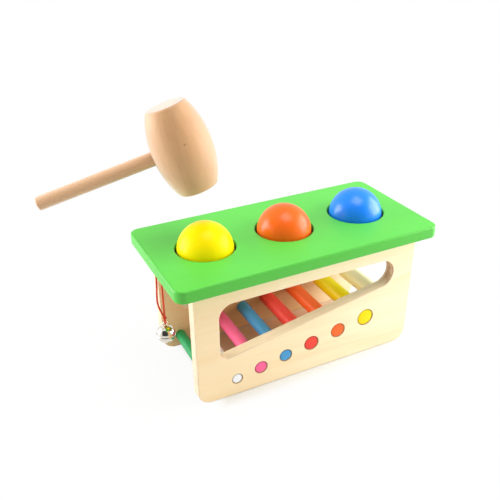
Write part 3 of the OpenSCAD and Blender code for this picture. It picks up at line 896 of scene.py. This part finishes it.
class BENCH_OT_board(bpy.types.Operator):
    """Cuts the green board with its three ball holes, grooved for the rubber rings"""

    bl_idname = "bench.board"
    bl_label = "Board"

    def execute(self, context):
        look = context.scene.bench_board
        centre, half = node_box("top_board")
        underside = centre[2] - half[2]
        thickness = 2 * half[2]
        ease = look.hole_ease
        ease_middle = 0.3 * ease
        outer = rounded(rectangle(centre[:2], half[:2]), [look.corner] * 4, steps=17)
        edges = [edge(outer, eased_wall(look.ease, thickness, steps=8))]
        rubber = black_rubber("ring_rubber", look)
        for name in BALLS:
            ball, ball_half = node_box(f"{name}_ball")
            ring, ring_half = node_box(f"{name}_ball_ring")
            wall = ball_half[0] + look.hole_gap
            groove = ring_half[0] + look.groove_gap - wall
            groove_low = ring[2] - ring_half[2] - look.groove_gap - underside
            groove_high = ring[2] + ring_half[2] + look.groove_gap - underside
            profile = [
                (ease / 2, 0), (0, ease / 2),
                (0, groove_low), (groove, groove_low), (groove, groove_high), (0, groove_high),
                (0, thickness - ease), (ease_middle, thickness - ease_middle), (ease, thickness)]
            edges.append(edge(hole_outline(ball[:2], wall, steps=128), profile))
            repaint(f"{name}_ball_ring", rubber)
        plugs, plugs_half = node_box("cord_plugs")
        pocket = [(0, 0), (0, look.cord_hole_depth)]
        for side in (-1, 1):
            plug = (plugs[0], plugs[1] + side * (plugs_half[1] - plugs_half[0]))
            edges.append(edge(hole_outline(plug, look.cord_hole / 2, steps=32), pocket, through=False))
        points, faces, owners = cut_sheet(edges)
        points[:, 2] += underside
        lengthwise = 0
        # The second paint is a darker copy for the edges and hole walls: painted shade
        paints = (
            painted_wood("green_paint", look.paint, lengthwise, look.shine),
            painted_wood("green_edge", shade(look.paint, look.edge_painted_shade), lengthwise, look.shine))
        make_piece(
            "board", "top_board", points, faces, paints, sharp=30, flat=owners < 0, picks=owners >= 0)
        return {"FINISHED"}


class BENCH_OT_panels(bpy.types.Operator):
    """Cuts the two side panels of pale wood with their windows and rod holes"""

    bl_idname = "bench.panels"
    bl_label = "Side panels"

    def execute(self, context):
        look = context.scene.bench_panels
        centre, half = node_box("back_panel")
        woods = (
            pale_wood("pale_wood", look, centre[1] - half[1]),
            routed_wood("routed_wood", look),
            drilled_wood("drilled_wood", look))
        upright = 2
        beech = turned_beech("dowel_beech", look.dowel, look.dowel_fleck, upright)
        for side in ("front", "back"):
            self.cut_panel(look, side, woods)
            repaint(f"{side}_dowels", beech)
        repaint("cord_plugs", beech)
        return {"FINISHED"}

    @staticmethod
    def cut_panel(look, side, woods):
        """One panel, drawn in X and Z with its thickness along -Y from its backward face."""
        centre, half = node_box(f"{side}_panel")
        thickness = 2 * half[1]
        head = centre[2] + half[2]
        square = 0.05 * MM
        outer = rounded(
            rectangle(centre[[0, 2]], half[[0, 2]]), [look.corner, look.corner, square, square], steps=17)
        below_head = outer[:, 1] < head - 2 * square
        edges = [edge(outer, eased_wall(look.ease, thickness, steps=8), below_head.astype(float))]
        left = centre[0] - half[0] + look.window_margin
        right = centre[0] + half[0] - look.window_margin
        top = head - look.window_head
        rise = math.tan(look.slope)
        sill_left = look.sill + rise * left
        sill_right = look.sill + rise * right
        end_round = (top - sill_right) / (1 + 1 / math.cos(look.slope) - rise)
        window = rounded(
            [(left, sill_left), (left, top), (right, top), (right, sill_right)],
            [look.lower_corner, look.upper_corner, end_round, end_round], steps=25)
        edges.append(edge(window, eased_wall(look.window_ease, thickness, steps=4)))
        chamfer = look.rod_chamfer
        profiles = {
            "front": [(0, 0), (0, thickness - chamfer), (chamfer, thickness)],
            "back": [(chamfer, 0), (0, chamfer), (0, thickness)]}
        for name in RODS:
            if name not in BLIND_RODS:
                rod, rod_half = node_box(f"{name}_rod")
                hole = hole_outline(rod[[0, 2]], rod_half[0] + look.rod_gap, steps=48)
                edges.append(edge(hole, profiles[side]))
        points, faces, owners = cut_sheet(edges)
        in_place = np.stack([points[:, 0], centre[1] + half[1] - points[:, 2], points[:, 1]], -1)
        make_piece(
            f"{side}_side", f"{side}_panel", in_place, faces, woods, sharp=30, flat=owners < 0,
            picks=np.clip(owners, 0, len(woods) - 1), grain=(1, 0, 0))


class BENCH_OT_rods(bpy.types.Operator):
    """Turns the eight painted rods of the track"""

    bl_idname = "bench.rods"
    bl_label = "Rods"

    def execute(self, context):
        look = context.scene.bench_rods
        sides = 64
        steps = 5
        crosswise = 1
        dull = 0.5
        ease = look.end_round
        for name in RODS:
            centre, half = node_box(f"{name}_rod")
            radius, reach = half[:2]
            profile = np.concatenate([
                [(0, -reach)],
                arc((radius - ease, -reach + ease), ease, -90, 0, steps),
                arc((radius - ease, reach - ease), ease, 0, 90, steps),
                [(0, reach)]])
            points, faces = turned(profile, sides)
            points = placed(points, Matrix.Rotation(-math.pi / 2, 4, "X")) + centre
            paint = getattr(look, name)
            # Painted shade: the rim round each end is drawn in a darker copy of the rod's paint
            shaded_rim_colour = shade(paint, look.rim_shade)
            paints = (
                painted_wood(f"{name}_rod_paint", paint, crosswise, look.shine),
                painted_wood(f"{name}_rod_rim", shaded_rim_colour, crosswise, look.shine, dull))
            band = np.arange(len(faces)) // sides
            rim = (band < 2 * steps - 1) & (band != steps - 1)
            make_piece(f"rod_{name}", f"{name}_rod", points, faces, paints, picks=rim)
        return {"FINISHED"}


class BENCH_OT_balls(bpy.types.Operator):
    """Turns the three lacquered balls"""

    bl_idname = "bench.balls"
    bl_label = "Balls"

    def execute(self, context):
        look = context.scene.bench_balls
        for name in BALLS:
            centre, half = node_box(f"{name}_ball")
            points, faces = turned(arc((0, 0), half[2], -90, 90, steps=65), sides=128)
            lacquer = lacquered_ball(
                f"{name}_lacquer", getattr(look, name), centre, getattr(look, f"{name}_shine"))
            make_piece(f"ball_{name}", f"{name}_ball", points + centre, faces, (lacquer,))
        return {"FINISHED"}


class BENCH_OT_bell(bpy.types.Operator):
    """Presses the jingle bell: a domed cap with a wire eye, the slotted cup and its pellet"""

    bl_idname = "bench.bell"
    bl_label = "Bell"

    def execute(self, context):
        look = context.scene.bench_bell
        nickel = bright_nickel("bright_nickel", look.nickel)
        cap, _ = node_box("bell_cap")
        cup, cup_half = node_box("bell_cup")
        radius = 2 * cup_half[2]
        centre = np.array([cap[0], cap[1], cup[2] + cup_half[2]])
        seam = radius + look.seam_out
        half_seam = look.seam_height / 2
        bevel = 0.4
        seam_meets = math.degrees(math.asin(half_seam / radius))
        profile = np.concatenate([
            arc((0, 0), radius - look.wall, 90, 0, steps=25),
            [(seam, 0), (seam, half_seam * (1 - bevel)), (seam - look.seam_out * bevel, half_seam)],
            arc((0, 0), radius, seam_meets, 90, steps=25)])
        shell = turned(profile, sides=64)
        eye_radius = (look.eye_bore + look.eye_wire) / 2
        eye_rise = radius - look.eye_sink + look.eye_wire / 2 + eye_radius
        ring = circle(eye_radius, 64, 0, 2)
        eye = tube(ring + [0, 0, eye_rise], look.eye_wire / 2, sides=16, across=ring, closed=True)
        points, faces = joined(shell, eye[:2])
        make_piece("bell_dome", "bell_cap", points + centre, faces, (nickel,), sharp=35)
        merged_copy("bell_bowl", "bell_cup", (nickel,))
        repaint("bell_pellet", plain_steel("pellet_steel", look))
        return {"FINISHED"}


class BENCH_OT_mallet(bpy.types.Operator):
    """Turns the mallet's barrel head and its handle"""

    bl_idname = "bench.mallet"
    bl_label = "Mallet"

    def execute(self, context):
        look = context.scene.bench_mallet
        turn = Euler((look.roll, look.lean, look.turn), "XYZ")
        centre = Vector((look.centre_x, look.centre_y, look.centre_z))
        place = Matrix.Translation(centre) @ turn.to_matrix().to_4x4()
        upright = 2
        points, faces = turned(self.head_profile(look), sides=128)
        beech = turned_beech("mallet_beech", look.wood, look.fleck, upright, centre, turn, look.pin)
        make_piece(
            "mallet_barrel", "mallet_head", placed(points, place), faces, (beech,),
            grain=place.col[upright][:3])
        lengthwise = 0
        points, faces = turned(self.handle_profile(look), sides=64)
        along = Matrix.Translation((look.handle_socket, 0, 0)) @ Matrix.Rotation(-math.pi / 2, 4, "Y")
        beech = turned_beech("handle_beech", look.handle_wood, look.fleck, lengthwise, centre, turn)
        make_piece(
            "mallet_stick", "mallet_handle", placed(points, place @ along), faces, (beech,),
            grain=place.col[lengthwise][:3])
        return {"FINISHED"}

    @staticmethod
    def head_profile(look):
        """Barrel with arched sides, a rounded rim at each end and flat striking faces, each with one
        more ring of points that keeps its middle flat."""
        half = look.head_length / 2
        sag = (look.head_middle - look.head_end) / 2
        bulge = (half ** 2 + sag ** 2) / (2 * sag)
        bulge_x = look.head_middle / 2 - bulge
        rim_z = half - look.rim
        rim_x = bulge_x + math.sqrt((bulge - look.rim) ** 2 - rim_z ** 2)
        meet = math.degrees(math.atan2(rim_z, rim_x - bulge_x))
        return np.concatenate([
            [(0, -half), (rim_x / 2, -half)],
            arc((rim_x, -rim_z), look.rim, -90, -meet, steps=9),
            arc((bulge_x, 0), bulge, -meet, meet, steps=49)[1:-1],
            arc((rim_x, rim_z), look.rim, meet, 90, steps=9),
            [(rim_x / 2, half), (0, half)]])

    @staticmethod
    def handle_profile(look):
        """Round stick from its square end in the head's socket to its rounded end."""
        run = look.handle_socket + look.head_middle / 2 + look.handle_reach
        radius = look.handle / 2
        ease = look.handle_end
        return np.concatenate([
            [(0, 0), (radius, 0)],
            arc((radius - ease, run - ease), ease, 0, 90, steps=7),
            [(0, run)]])


class BENCH_OT_studio(bpy.types.Operator):
    """Sets the camera, the pale floor, the soft lamps and the cloth behind the camera"""

    bl_idname = "bench.studio"
    bl_label = "Studio"

    def execute(self, context):
        look = context.scene.bench_studio
        context.scene.view_settings.view_transform = "Standard"
        camera = linked("camera", bpy.data.cameras.new("camera"))
        camera.data.lens = look.lens
        camera.data.clip_start = look.clip
        camera.matrix_world = (
            Matrix.Translation((look.camera_x, look.camera_y, look.camera_z))
            @ Matrix.Rotation(-look.yaw, 4, "Z")
            @ Matrix.Rotation(math.pi / 2 - look.pitch, 4, "X")
            @ Matrix.Rotation(look.roll, 4, "Z"))
        context.scene.camera = camera
        self.lay_floor(look)
        self.light_world(look, context.scene)
        self.hang_cloth(look, camera)
        for name, (towards, away, width, power) in LAMPS.items():
            lamp = bpy.data.lights.new(name, "AREA")
            lamp.shape = "SQUARE"
            lamp.size = width
            lamp.energy = power
            holder = linked(name, lamp)
            direction = Vector(towards).normalized()
            holder.location = Vector((0, 0, look.lamp_aim)) + direction * away
            holder.rotation_euler = direction.to_track_quat("Z", "Y").to_euler()
        return {"FINISHED"}

    @staticmethod
    def stage_sheet(name, width, height, level=0.0):
        """Flat rectangle of the studio, which isn't part of the bench."""
        mesh = bpy.data.meshes.new(name)
        corners = rectangle(0, np.array([width, height]) / 2)
        mesh.from_pydata([(x, y, level) for x, y in corners], [], [(0, 1, 2, 3)])
        sheet = linked(name, mesh)
        return sheet

    def lay_floor(self, look):
        """Square floor. To the camera it is a white sheet that is lit like any other under the bench, where
        it is drawn in a warm brown, painted shade and light bounced off the wood, and that glows more of
        its own the farther it lies outside; to other rays it is plain. From below it is clear, so that the
        underside of the bench can be seen."""
        floor = self.stage_sheet("floor", look.floor_size, look.floor_size, -look.floor_gap)
        finish = Finish("studio_floor")
        point = finish.add("TexCoord", output="Object")
        past_end = abs(finish.axis(point, "X") - look.shade_mid) - look.shade_x
        past_side = abs(finish.axis(point, "Y")) - look.shade_y
        outside = finish.math("MAXIMUM", past_end, past_side)
        near_glow = outside.ramp(0, look.near, look.soft_glow)
        far_glow = outside.ramp(look.near, look.far, 1 - look.soft_glow)
        plain = finish.add("BsdfDiffuse", inputs={"Color": look.floor})
        # Painted shade and bounced light: warm brown under the bench, white outside it
        painted_floor_shade = finish.mix(outside.ramp(-look.near, 0), look.under, look.floor)
        lit = finish.add("BsdfDiffuse", inputs={"Color": painted_floor_shade})
        glow = finish.add("Emission", inputs={"Color": WHITE, "Strength": 1})
        shown = finish.blend(near_glow + far_glow, lit, glow)
        above = finish.blend(finish.seen(), plain, shown)
        from_below = finish.add("NewGeometry", output="Backfacing")
        clear = finish.add("BsdfTransparent")
        floor.data.materials.append(finish.close(finish.blend(from_below, above, clear)))

    def hang_cloth(self, look, camera):
        """Dark cloth behind the camera, which shows in reflections alone: it keeps the white of the
        studio off the sides of shiny things that face the camera."""
        cloth = self.stage_sheet("cloth", look.cloth_width, look.cloth_height)
        cloth.visible_camera = False
        cloth.visible_diffuse = False
        cloth.visible_shadow = False
        cloth.matrix_world = camera.matrix_world @ Matrix.Translation((0, 0, look.cloth_back))
        finish = Finish("studio_cloth")
        base = finish.mix(finish.noise(2, 1), look.cloth, shade(look.cloth, 0.7))
        cloth.data.materials.append(finish.surface(base, 0.9))

    @staticmethod
    def light_world(look, scene):
        """World that is white to the camera and a softer fill light for everything else."""
        finish = Finish("studio_world", "worlds")
        fill, white = (
            finish.add("Background", inputs={"Color": WHITE, "Strength": level}) for level in (look.fill, 1))
        scene.world = finish.close(finish.blend(finish.seen(), fill, white), "World")


STEPS = (
    BENCH_OT_studio, BENCH_OT_cord, BENCH_OT_board, BENCH_OT_panels, BENCH_OT_rods,
    BENCH_OT_balls, BENCH_OT_bell, BENCH_OT_mallet,
)


class BENCH_PT_sidebar(bpy.types.Panel):
    """Lists the steps that build the bench"""

    bl_idname = "BENCH_PT_sidebar"
    bl_label = "Pounding bench"
    bl_space_type = "VIEW_3D"
    bl_region_type = "UI"
    bl_category = "Bench"

    def draw(self, context):
        for step in STEPS:
            self.layout.operator(step.bl_idname)


CLASSES = (*LOOKS.values(), *STEPS, BENCH_PT_sidebar)


def register():
    """Adds the classes and hangs the property groups on the scene."""
    for item in CLASSES:
        bpy.utils.register_class(item)
    for name, look in LOOKS.items():
        setattr(bpy.types.Scene, name, bpy.props.PointerProperty(type=look))


def unregister():
    """Takes the property groups and classes off again."""
    for name in LOOKS:
        delattr(bpy.types.Scene, name)
    for item in reversed(CLASSES):
        bpy.utils.unregister_class(item)


def main():
    """Registers the classes and runs every step in order."""
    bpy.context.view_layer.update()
    register()
    for step in STEPS:
        area, name = step.bl_idname.split(".")
        getattr(getattr(bpy.ops, area), name)()


if __name__ == "__main__":
    main()
